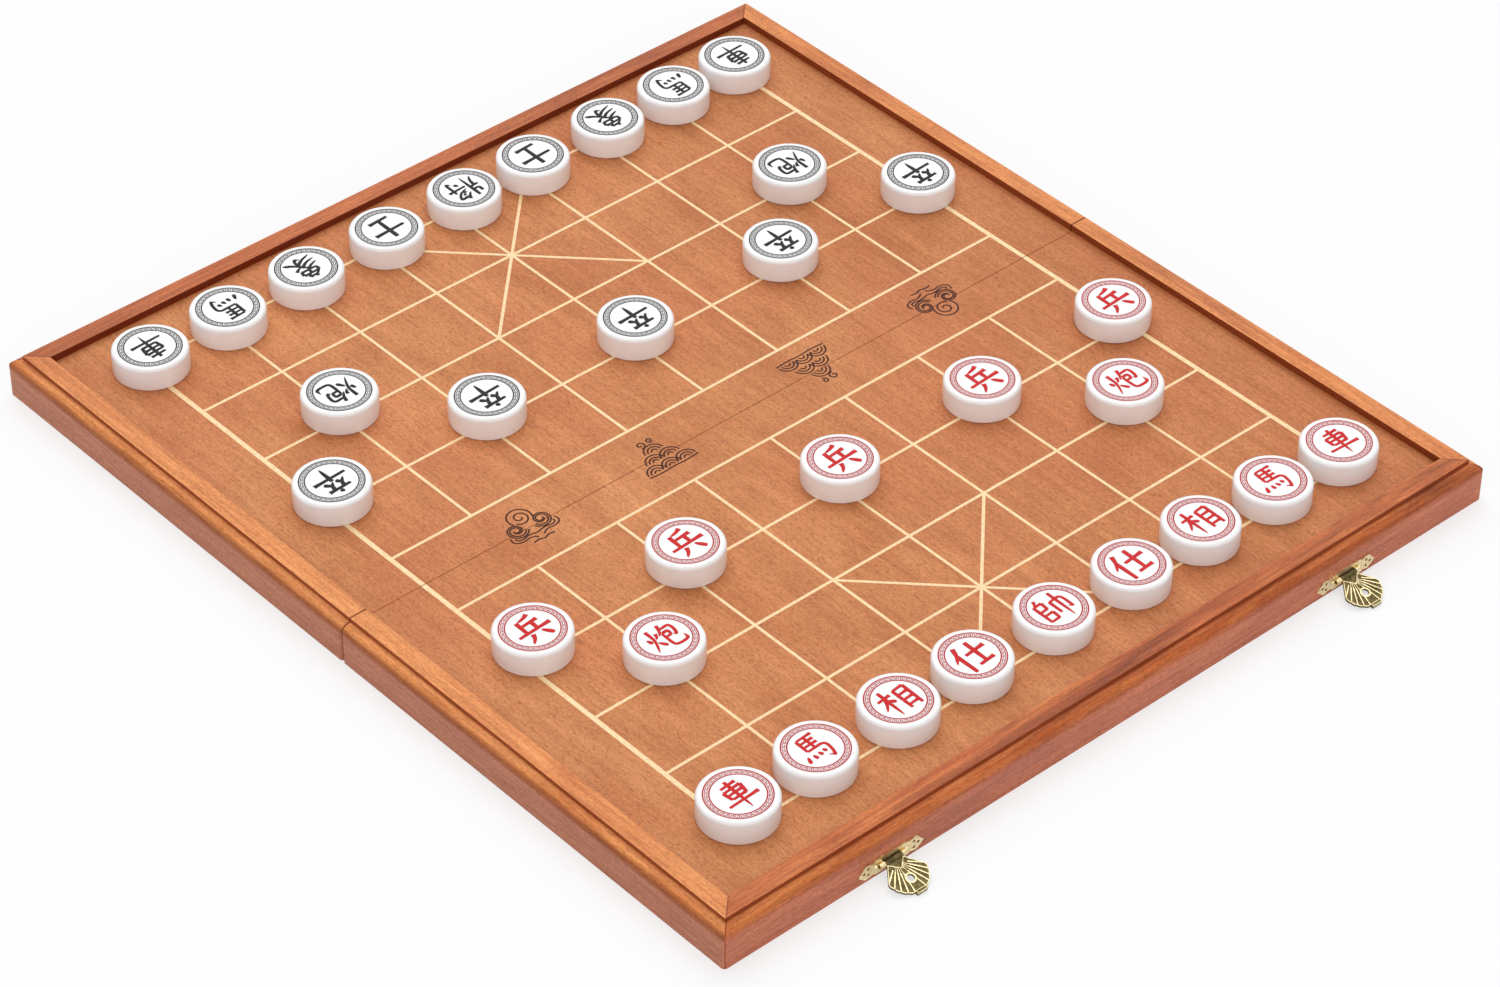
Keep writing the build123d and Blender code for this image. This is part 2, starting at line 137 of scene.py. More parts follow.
lightSetup = {
    "skyLevel": 0.42,
    "keyLevel": 1.62,
    "keyAngle": 62,  # degrees across, a big soft light
    "keyFrom": (0.42, 0.62, 1.25),  # behind the board and above it
    "fillLevel": 0.95,
    "fillAngle": 80,
    "fillFrom": (-0.8, -1.05, 0.75),  # from the near corner's side
}


def lightStudio(setup):
    world = bpy.data.worlds.new("studioSky")
    bpy.context.scene.world = world
    world.use_nodes = True
    tree = world.node_tree
    tree.nodes.clear()
    out = tree.nodes.new("ShaderNodeOutputWorld")
    sky = tree.nodes.new("ShaderNodeBackground")
    sky.inputs["Color"].default_value = (1, 1, 1, 1)
    level = valueRange(tree, seenOrMirrored(tree), 0, 1, setup["skyLevel"], 1)
    tree.links.new(level, sky.inputs["Strength"])
    tree.links.new(sky.outputs[0], out.inputs["Surface"])

    for name in ("key", "fill"):
        bpy.ops.object.light_add(type="SUN", location=setup[name + "From"])
        lamp = bpy.context.object
        lamp.name = name + "SoftLight"
        lamp.data.energy = setup[name + "Level"]
        lamp.data.angle = math.radians(setup[name + "Angle"])
        lamp.rotation_euler = lamp.location.to_track_quat("Z", "Y").to_euler()


def newFinish(name):
    finish = bpy.data.materials.new(name)
    finish.use_nodes = True
    return finish, finish.node_tree, finish.node_tree.nodes["Principled BSDF"]


def grainNoise(tree, stretch, scale, detail, rough):
    # noise on the object's own place, stretched along the grain
    where = tree.nodes.new("ShaderNodeTexCoord")
    mapping = tree.nodes.new("ShaderNodeMapping")
    mapping.inputs["Scale"].default_value = stretch
    noise = tree.nodes.new("ShaderNodeTexNoise")
    noise.inputs["Scale"].default_value = scale
    noise.inputs["Detail"].default_value = detail
    noise.inputs["Roughness"].default_value = rough
    tree.links.new(where.outputs["Object"], mapping.inputs["Vector"])
    tree.links.new(mapping.outputs[0], noise.inputs["Vector"])
    return noise.outputs["Fac"]


def colourRamp(tree, value, stops):
    ramp = tree.nodes.new("ShaderNodeValToRGB")
    elements = ramp.color_ramp.elements
    while len(elements) < len(stops):
        elements.new(0.5)
    for element, (place, colour) in zip(elements, stops):
        element.position = place
        element.color = colour
    tree.links.new(value, ramp.inputs["Fac"])
    return ramp.outputs["Color"]


def valueRange(tree, value, low, high, toLow, toHigh):
    spread = tree.nodes.new("ShaderNodeMapRange")
    spread.inputs["From Min"].default_value = low
    spread.inputs["From Max"].default_value = high
    spread.inputs["To Min"].default_value = toLow
    spread.inputs["To Max"].default_value = toHigh
    tree.links.new(value, spread.inputs["Value"])
    return spread.outputs[0]


def mixColour(tree, share, first, second, way="MIX"):
    mix = tree.nodes.new("ShaderNodeMix")
    mix.data_type = "RGBA"
    mix.blend_type = way
    colours = [socket for socket in mix.inputs if socket.type == "RGBA"]
    give(tree, mix.inputs[0], share)
    give(tree, colours[0], first)
    give(tree, colours[1], second)
    return [socket for socket in mix.outputs if socket.type == "RGBA"][0]


def grained(tree, base, noise, tints):
    # each layer of noise darkens and lightens the wood
    for layer, (share, stops) in tints.items():
        base = mixColour(tree, share, base, colourRamp(tree, noise[layer], stops), "MULTIPLY")
    return base


def spotted(tree, base, noise, look, spot):
    # a colour of its own where a layer of noise passes from one level to the other
    layer, low, high = look["spots"][spot]
    share = valueRange(tree, noise[layer], low, high, 0, look[spot + "Share"])
    return mixColour(tree, share, base, look[spot])


def bumpFrom(tree, value, strength, depth):
    bump = tree.nodes.new("ShaderNodeBump")
    bump.inputs["Strength"].default_value = strength
    bump.inputs["Distance"].default_value = depth
    tree.links.new(value, bump.inputs["Height"])
    return bump.outputs["Normal"]


def partOf(tree, kind, axis):
    # one axis of the object's own place or of its surface's direction
    where = tree.nodes.new("ShaderNodeTexCoord")
    parts = tree.nodes.new("ShaderNodeSeparateXYZ")
    tree.links.new(where.outputs[kind], parts.inputs[0])
    return parts.outputs[axis]


placeCamera(cameraSetup)
layFloor(floorSetup)
lightStudio(lightSetup)
bpy.context.scene.view_settings.view_transform = "Standard"
print("camera, floor and light ready")


veneerLook = {
    "light": paint(228, 158, 106),
    "middle": paint(211, 141, 93),
    "dark": paint(194, 119, 73),
    "flush": paint(206, 124, 84),
    "flushShare": 0.4,
    "pore": paint(146, 80, 46),
    "poreShare": 0.5,
    "roughness": (0.5, 0.64),
    "gloss": 0.15,
    "dull": (0.92, 0.89, 0.88, 1),  # painted shade: the veneer is made a little darker towards the right
    "paintedShadeFrom": (-60 * mm, 160 * mm),
    "bump": (0.3, 0.06 * mm),  # strength and depth
    "spots": {"flush": ("patches", 0.45, 0.65), "pore": ("pores", 0.56, 0.7)},  # noise and its levels
    "layers": {  # stretch, scale, detail and roughness of each layer of noise
        "cloud": ((1, 0.55, 1), 42, 4, 0.62),
        "patches": ((1, 0.7, 1), 18, 2, 0.5),
        "figure": ((1, 0.16, 1), 210, 3, 0.6),
        "streak": ((1, 0.07, 1), 90, 3, 0.55),
        "hairs": ((1, 0.05, 1), 700, 3, 0.6),
        "speckle": ((1, 0.5, 1), 1500, 3, 0.75),
        "pores": ((1, 0.22, 1), 2600, 1, 0.4),
    },
    "tints": {  # share, then the tint at levels of the noise
        "figure": (1, ((0.3, (0.93, 0.91, 0.89, 1)), (0.7, (1.06, 1.06, 1.06, 1)))),
        "hairs": (0.9, ((0.34, (0.9, 0.87, 0.84, 1)), (0.62, (1.05, 1.05, 1.05, 1)))),
        "streak": (1, ((0.3, (0.95, 0.93, 0.91, 1)), (0.68, (1.03, 1.03, 1.03, 1)))),
        "speckle": (0.85, ((0.3, (0.74, 0.69, 0.64, 1)), (0.52, (1.02, 1.02, 1.02, 1)),
                           (0.7, (1.18, 1.18, 1.18, 1)))),
    },
}


def boardVeneer(look):
    finish, tree, shader = newFinish("boardVeneer")
    noise = {layer: grainNoise(tree, *settings) for layer, settings in look["layers"].items()}
    shades = [(0.2, look["dark"]), (0.5, look["middle"]), (0.82, look["light"])]
    base = colourRamp(tree, noise["cloud"], shades)
    base = spotted(tree, base, noise, look, "flush")
    base = grained(tree, base, noise, look["tints"])
    # painted shade: the veneer darkens gradually towards the right
    paintedShadeShare = valueRange(tree, partOf(tree, "Object", "X"), *look["paintedShadeFrom"], 0, 1)
    base = mixColour(tree, paintedShadeShare, base, look["dull"], "MULTIPLY")
    base = spotted(tree, base, noise, look, "pore")
    tree.links.new(base, shader.inputs["Base Color"])
    rough = valueRange(tree, noise["speckle"], 0.3, 0.7, *look["roughness"])
    tree.links.new(rough, shader.inputs["Roughness"])
    shader.inputs["Specular IOR Level"].default_value = look["gloss"]
    tree.links.new(bumpFrom(tree, noise["speckle"], *look["bump"]), shader.inputs["Normal"])
    return finish


# each rail's face colour is painted shade and reflected floor light on its upright outer faces
railLooks = {
    # the last colour of each rail is painted shade on the steps and inner walls above the board, and also the
    # dark of the joins
    "front": {
        "grain": "x", "light": paint(220, 130, 74), "dark": paint(190, 96, 48), "flush": paint(164, 74, 34),
        "face": paint(200, 122, 98), "foot": paint(172, 88, 50), "footShare": 0.4,
        "streak": paint(128, 54, 26), "streakShare": 0.6, "knot": paint(104, 40, 18), "knotShare": 0.75,
        "gold": paint(226, 142, 74), "goldShare": 0.7, "paintedShadeAndJoinDark": paint(134, 58, 26),
    },
    "back": {
        "grain": "x", "light": paint(210, 122, 72), "dark": paint(186, 98, 52), "flush": paint(174, 84, 40),
        "face": paint(176, 112, 92), "foot": paint(170, 88, 50), "footShare": 0.5,
        "streak": paint(150, 74, 40), "streakShare": 0.5, "knot": paint(132, 62, 32), "knotShare": 0.5,
        "gold": paint(216, 128, 76), "goldShare": 0.4, "paintedShadeAndJoinDark": paint(104, 34, 10),
    },
    "left": {
        "grain": "y", "light": paint(242, 160, 98), "dark": paint(218, 132, 72), "flush": paint(202, 110, 54),
        "face": paint(178, 116, 98), "foot": paint(150, 78, 42), "footShare": 0.8,
        "streak": paint(180, 92, 48), "streakShare": 0.45, "knot": paint(168, 84, 40), "knotShare": 0.45,
        "gold": paint(250, 170, 104), "goldShare": 0.4, "paintedShadeAndJoinDark": paint(142, 64, 30),
    },
    "right": {
        "grain": "y", "light": paint(238, 154, 92), "dark": paint(216, 130, 70), "flush": paint(200, 110, 54),
        "face": paint(176, 112, 92), "foot": paint(170, 88, 50), "footShare": 0.5,
        "streak": paint(160, 78, 42), "streakShare": 0.45, "knot": paint(160, 80, 40), "knotShare": 0.4,
        "gold": paint(246, 164, 98), "goldShare": 0.4, "paintedShadeAndJoinDark": paint(124, 50, 20),
    },
}
railFinish = {  # what the rails share
    "gloss": 0.2,
    "roughness": (0.4, 0.52),
    "flushShare": 0.7,
    "paintedFaceShadeShare": 0.75,
    "paintedStepShadeShare": 0.9,
    "joinShare": 0.75,
    "joinWidth": (0.2 * mm, 0.6 * mm),  # full to here, faded out there
    "paintedFaceShadeHeights": (0.3 * mm, -1.2 * mm),  # painted shade and reflected floor light on the outer faces, from the top of the board, each from none to full
    "footHeights": ((-2.8 * mm, -1.2 * mm), (0.9 * mm, -0.5 * mm)),  # from below and from above
    # painted shade on the upright steps and inner walls, between these heights above the board
    "paintedStepShadeHeights": (0.1 * mm, 0.5 * mm),
    "fleck": paint(124, 60, 30),
    "fleckShare": 0.26,
    "bump": (0.2, 0.05 * mm),  # strength and depth
    "spots": {  # noise and its levels
        "flush": ("cloud", 0.5, 0.72),
        "streak": ("streaks", 0.52, 0.68),
        "knot": ("figure", 0.56, 0.7),
        "gold": ("figure", 0.42, 0.3),
        "fleck": ("flecks", 0.58, 0.74),
    },
    "layers": {  # stretch along the grain, scale, detail and roughness of each layer of noise
        "bands": (0.05, 420, 3, 0.6),
        "streaks": (0.05, 150, 3, 0.6),
        "flecks": (0.3, 2600, 1, 0.4),
        "cloud": (0.35, 36, 3, 0.6),
        "figure": (0.14, 74, 4, 0.68),
        "fine": (0.3, 1500, 2, 0.65),
        "hairs": (0.05, 1100, 2, 0.5),
    },
    "tints": {
        "fine": (0.85, ((0.3, (0.72, 0.66, 0.6, 1)), (0.52, (1, 1, 1, 1)),
                        (0.72, (1.12, 1.13, 1.14, 1)))),
        "hairs": (0.9, ((0.35, (0.82, 0.78, 0.74, 1)), (0.6, (1.06, 1.06, 1.06, 1)))),
    },
}


def tall(tree, low, high):
    # 0 at one height and 1 at the other, both from the top of the board
    return valueRange(tree, partOf(tree, "Object", "Z"), boardTop + low, boardTop + high, 0, 1)


def steep(tree):
    # 1 on upright faces and 0 on level ones
    return valueRange(tree, partOf(tree, "Normal", "Z"), 0.15, 0.55, 1, 0)


def nearJoins(tree, close, away):
    # 1 beside the seam and the mitres at the corners, fading to 0 away from them
    low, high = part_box("front_end_rail")
    finer = 1.4  # the mitres show finer than the seam
    fromSeam = mathNode(tree, "ABSOLUTE", mathNode(tree, "SUBTRACT", partOf(tree, "Object", "Y"), seamY))
    fromMiddle = mathNode(tree, "ABSOLUTE", partOf(tree, "Object", "X"))
    mitre = mathNode(tree, "SUBTRACT", fromSeam, mathNode(tree, "ADD", fromMiddle, seamY - low.y - high.x))
    gap = mathNode(tree, "MINIMUM", fromSeam, product(tree, mathNode(tree, "ABSOLUTE", mitre), finer))
    return valueRange(tree, gap, close, away, 1, 0)


def railWood(name, look):
    finish, tree, shader = newFinish(name + "RailWood")
    noise = {}
    for layer, (stretch, *settings) in look["layers"].items():
        along = (stretch, 1, 1) if look["grain"] == "x" else (1, stretch, 1)
        noise[layer] = grainNoise(tree, along, *settings)
    base = colourRamp(tree, noise["bands"], [(0.32, look["dark"]), (0.62, look["light"])])
    for spot in ("flush", "streak", "knot", "gold"):
        base = spotted(tree, base, noise, look, spot)
    # painted shade and reflected floor light on the upright outer face, and the darker foot of the round
    # above it
    face = product(tree, steep(tree), tall(tree, *look["paintedFaceShadeHeights"]))
    base = mixColour(tree, product(tree, face, look["paintedFaceShadeShare"]), base, look["face"])
    below, above = look["footHeights"]
    foot = product(tree, tall(tree, *below), tall(tree, *above))
    base = mixColour(tree, product(tree, foot, look["footShare"]), base, look["foot"])
    base = grained(tree, base, noise, look["tints"])
    base = spotted(tree, base, noise, look, "fleck")
    # painted shade on the upright steps and inner walls above the board, and the dark joins
    steps = product(tree, steep(tree), tall(tree, *look["paintedStepShadeHeights"]))
    base = mixColour(tree, product(tree, steps, look["paintedStepShadeShare"]), base, look["paintedShadeAndJoinDark"])
    joins = product(tree, nearJoins(tree, *look["joinWidth"]), look["joinShare"])
    base = mixColour(tree, joins, base, look["paintedShadeAndJoinDark"])
    tree.links.new(base, shader.inputs["Base Color"])
    rough = valueRange(tree, noise["bands"], 0.3, 0.7, *look["roughness"])
    tree.links.new(rough, shader.inputs["Roughness"])
    shader.inputs["Specular IOR Level"].default_value = look["gloss"]
    tree.links.new(bumpFrom(tree, noise["flecks"], *look["bump"]), shader.inputs["Normal"])
    return finish


def plainFinish(name, grain, stops, roughness):
    # one noise gives the colour and the roughness
    finish, tree, shader = newFinish(name)
    noise = grainNoise(tree, *grain)
    tree.links.new(colourRamp(tree, noise, stops), shader.inputs["Base Color"])
    tree.links.new(valueRange(tree, noise, 0.3, 0.7, *roughness), shader.inputs["Roughness"])
    return finish, shader, noise


lineLook = {
    "worn": paint(240, 200, 146),
    "fresh": paint(255, 226, 176),
    "roughness": (0.45, 0.6),
    "grain": ((1, 0.5, 1), 900, 3, 0.6),
}


def linePaint(look):
    stops = [(0.3, look["worn"]), (0.6, look["fresh"])]
    return plainFinish("linePaint", look["grain"], stops, look["roughness"])[0]


tarnishGrain = ((1, 1, 1), 900, 4, 0.65)  # stretch, scale, detail and roughness of the noise
brassBump = (0.2, 0.03 * mm)  # strength and depth
brassLooks = {  # bright, dull and roughness
    "antiqueBrass": (paint(248, 232, 192), paint(206, 180, 128), (0.28, 0.42)),
    "beadBrass": (paint(248, 236, 198), paint(206, 188, 138), (0.26, 0.4)),
    "darkBrass": (paint(74, 58, 34), paint(44, 34, 20), (0.45, 0.6)),
    "hingeBrass": (paint(214, 188, 126), paint(180, 150, 92), (0.3, 0.45)),
}


def tarnishStops(bright, dull):
    return [(0.35, dull), (0.65, bright)]


def brass(name, bright, dull, roughness):
    stops = tarnishStops(bright, dull)
    finish, shader, tarnish = plainFinish(name, tarnishGrain, stops, roughness)
    shader.inputs["Metallic"].default_value = 1
    tree = finish.node_tree
    tree.links.new(bumpFrom(tree, tarnish, *brassBump), shader.inputs["Normal"])
    return finish


acrylicLook = {
    "greyer": paint(244, 243, 243),
    "whiter": paint(248, 247, 247),
    "roughness": (0.2, 0.27),
    "grain": ((1, 1, 1), 160, 2, 0.5),
    "ior": 1.49,
    "depthShare": 0.08,  # light that goes a little way in
    "depth": (0.003, 0.0025, 0.0022),
    "depthScale": 0.5,
}


def discAcrylic(look):
    stops = [(0.3, look["greyer"]), (0.7, look["whiter"])]
    finish, shader = plainFinish("discAcrylic", look["grain"], stops, look["roughness"])[:2]
    shader.inputs["IOR"].default_value = look["ior"]
    shader.inputs["Subsurface Weight"].default_value = look["depthShare"]
    shader.inputs["Subsurface Radius"].default_value = look["depth"]
    shader.inputs["Subsurface Scale"].default_value = look["depthScale"]
    return finish


inkLooks = {  # full and worn
    "redInk": (paint(204, 20, 28), paint(218, 40, 40)),
    "ringRedInk": (paint(172, 0, 8), paint(188, 10, 22)),
    "blackInk": (paint(14, 14, 16), paint(34, 34, 36)),
    "burntLine": (paint(56, 20, 10), paint(78, 34, 18)),
}
inkFinish = {"roughness": (0.35, 0.45), "grain": ((1, 1, 1), 2400, 2, 0.6), "gloss": 0.12}


def printInk(name, full, worn):
    stops = [(0.3, full), (0.75, worn)]
    finish, shader = plainFinish(name, inkFinish["grain"], stops, inkFinish["roughness"])[:2]
    shader.inputs["Specular IOR Level"].default_value = inkFinish["gloss"]
    return finish


veneer = boardVeneer(veneerLook)
rails = {name: railWood(name, {**railFinish, **look}) for name, look in railLooks.items()}
cream = linePaint(lineLook)
metals = {name: brass(name, *look) for name, look in brassLooks.items()}
acrylic = discAcrylic(acrylicLook)
inks = {name: printInk(name, *look) for name, look in inkLooks.items()}


def dress(name, finish):
    mesh = nodes[name].data
    mesh.materials.clear()
    mesh.materials.append(finish)


for half in ("front", "back"):
    dress(half + "_end_rail", rails[half])
    dress(half + "_seam_rail", rails[half])
    dress(half + "_left_rail", rails["left"])
    dress(half + "_right_rail", rails["right"])
    dress(half + "_board_panel", veneer)
    dress(half + "_line_layer", cream)
    dress("hinge_leaves_" + half, metals["hingeBrass"])
    dress("hinge_screws_" + half, metals["hingeBrass"])
dress("hinge_pins", metals["hingeBrass"])
dress("hasp_nails", metals["antiqueBrass"])
dress("strike_nails", metals["antiqueBrass"])
for side in ("left", "right"):
    dress("hasp_plate_" + side, metals["antiqueBrass"])
    dress("strike_plate_" + side, metals["antiqueBrass"])
    dress("hasp_pin_" + side, metals["darkBrass"])
print("finishes on the solids")


def clearSelection():
    if bpy.context.mode != "OBJECT":
        bpy.ops.object.mode_set(mode="OBJECT")
    bpy.ops.object.select_all(action="DESELECT")


def only(piece):
    clearSelection()
    piece.select_set(True)
    bpy.context.view_layer.objects.active = piece


def pickEdges(piece, test):
    # in edit mode: selects the edges whose two ends pass the test
    bpy.ops.object.mode_set(mode="OBJECT")
    for face in piece.data.polygons:
        face.select = False
    for vertex in piece.data.vertices:
        vertex.select = False
    for edge in piece.data.edges:
        ends = [piece.data.vertices[i].co for i in edge.vertices]
        edge.select = all(test(end) for end in ends)
        if edge.select:
            for i in edge.vertices:
                piece.data.vertices[i].select = True
    bpy.ops.object.mode_set(mode="EDIT")
    bpy.ops.mesh.select_mode(type="EDGE")


def joined(parts, name):
    clearSelection()
    for part in parts:
        part.select_set(True)
    bpy.context.view_layer.objects.active = parts[0]
    if len(parts) > 1:
        bpy.ops.object.join()
    whole = bpy.context.object
    whole.name = name
    return whole


def copyOf(piece, name):
    copy = piece.copy()
    copy.data = piece.data.copy()
    copy.name = name
    copy.data.name = name
    bpy.context.scene.collection.objects.link(copy)
    return copy


discShape = {
    "radius": 14.25 * mm,
    "height": 9.49 * mm,
    "sides": 96,
    "topRound": 1.35 * mm,
    "topSteps": 6,
    "footRound": 0.55 * mm,
    "footSteps": 3,
    "smoothTo": 40,  # degrees
}


def turnDisc(shape):
    clearSelection()
    height = shape["height"]
    bpy.ops.mesh.primitive_cylinder_add(vertices=shape["sides"], radius=shape["radius"], depth=height,
                                        end_fill_type="NGON", location=(0, 0, height / 2))
    disc = bpy.context.object
    bpy.ops.object.transform_apply(location=True, rotation=True, scale=True)
    near = 0.001 * mm
    rounds = (("top", lambda at: at.z > height - near), ("foot", lambda at: at.z < near))
    for end, test in rounds:
        pickEdges(disc, test)
        bpy.ops.mesh.bevel(offset=shape[end + "Round"], segments=shape[end + "Steps"], profile=0.5,
                           affect="EDGES")
    bpy.ops.object.mode_set(mode="OBJECT")
    bpy.ops.object.shade_smooth_by_angle(angle=math.radians(shape["smoothTo"]))
    disc.name = "discPattern"
    disc.data.materials.append(acrylic)
    return disc


printShape = {
    "outerRadius": 11.9 * mm,
    "innerRadius": 9.35 * mm,
    "sides": 96,
    "lineWidth": 0.48 * mm,
    "fretCount": 34,
    "fretMiddle": 10.65 * mm,  # the radius where the units are as wide as their spacing
    "fretGap": 0.2 * mm,  # short of the outer line
    "fretLine": 0.28 * mm,
    "rise": 0.03 * mm,
    "markReach": 7.4 * mm,  # from a mark's middle to its top
    "markWeight": 0.86 * mm,  # half the width of a full stroke
    "markRise": 0.035 * mm,
    "endShare": 0.14,  # of a stroke's length, where its first and its last width give way
    "weights": {
        "士": 1.1, "仕": 1.06, "兵": 1.04, "卒": 1.02, "車": 0.88, "帥": 0.82,
        "象": 0.84, "將": 0.84, "馬": 0.8, "相": 0.88, "炮": 0.84,
    },
    "sizes": {"炮": 0.9, "帥": 0.96, "相": 0.97, "象": 0.93, "將": 0.94},  # the others are full size
}


def flatRing(outer, inner, sides):
    clearSelection()
    bpy.ops.mesh.primitive_circle_add(vertices=sides, radius=outer, fill_type="NOTHING")
    ring = bpy.context.object
    bpy.ops.object.mode_set(mode="EDIT")
    bpy.ops.mesh.select_all(action="SELECT")
    bpy.ops.mesh.extrude_edges_move()
    share = inner / outer
    bpy.ops.transform.resize(value=(share, share, 1), center_override=(0, 0, 0))
    bpy.ops.object.mode_set(mode="OBJECT")
    return ring


def keyRibbon(walk, width):
    # the two sides of a line that turns only square corners
    sides = [[], []]
    ways = [(math.copysign(1, bx - ax) if bx != ax else 0, math.copysign(1, by - ay) if by != ay else 0)
            for (ax, ay), (bx, by) in zip(walk, walk[1:])]
    for (x, y), before, after in zip(walk, [ways[0]] + ways, ways + [ways[-1]]):
        left = (-before[1] - after[1], before[0] + after[0])
        if before == after:
            left = (-before[1], before[0])
        for points, side in zip(sides, (0.5, -0.5)):
            points.append((x + left[0] * side * width, y + left[1] * side * width))
    return sides[0] + sides[1][::-1]


def keyUnit(shape):
    # one square spiral of a traditional key border, standing on the inner line
    wide = 2 * math.pi * shape["fretMiddle"] / shape["fretCount"]
    foot = shape["innerRadius"] + shape["lineWidth"]
    high = shape["outerRadius"] - shape["lineWidth"] - shape["fretGap"] - shape["fretLine"] / 2 - foot
    walk = [(0.42, 0), (0.42, 1), (-0.34, 1), (-0.34, 0.3), (0.08, 0.3), (0.08, 0.66)]  # shares of both
    points = keyRibbon([(u * wide, foot + v * high) for u, v in walk], shape["fretLine"])
    clearSelection()
    bpy.ops.curve.primitive_bezier_circle_add()
    unit = bpy.context.object
    unit.name = "keyUnit"
    unit.data.dimensions = "2D"
    unit.data.fill_mode = "BOTH"
    unit.data.splines.clear()
    line = unit.data.splines.new("POLY")
    line.points.add(len(points) - 1)
    for knot, (x, y) in zip(line.points, points):
        knot.co = (x, y, 0, 1)
    line.use_cyclic_u = True
    only(unit)
    bpy.ops.object.convert(target="MESH")
    return bpy.context.object


def printRing(shape):
    outer, inner, line = shape["outerRadius"], shape["innerRadius"], shape["lineWidth"]
    parts = [flatRing(outer, outer - line, shape["sides"]), flatRing(inner + line, inner, shape["sides"])]
    unit = keyUnit(shape)
    for step in range(shape["fretCount"]):
        copy = copyOf(unit, "keyCopy")
        copy.data.transform(Matrix.Rotation(2 * math.pi * step / shape["fretCount"], 4, "Z"))
        parts.append(copy)
    bpy.data.objects.remove(unit)
    whole = joined(parts, "ringPattern")
    whole.data.transform(Matrix.Translation((0, 0, shape["rise"])))
    return whole


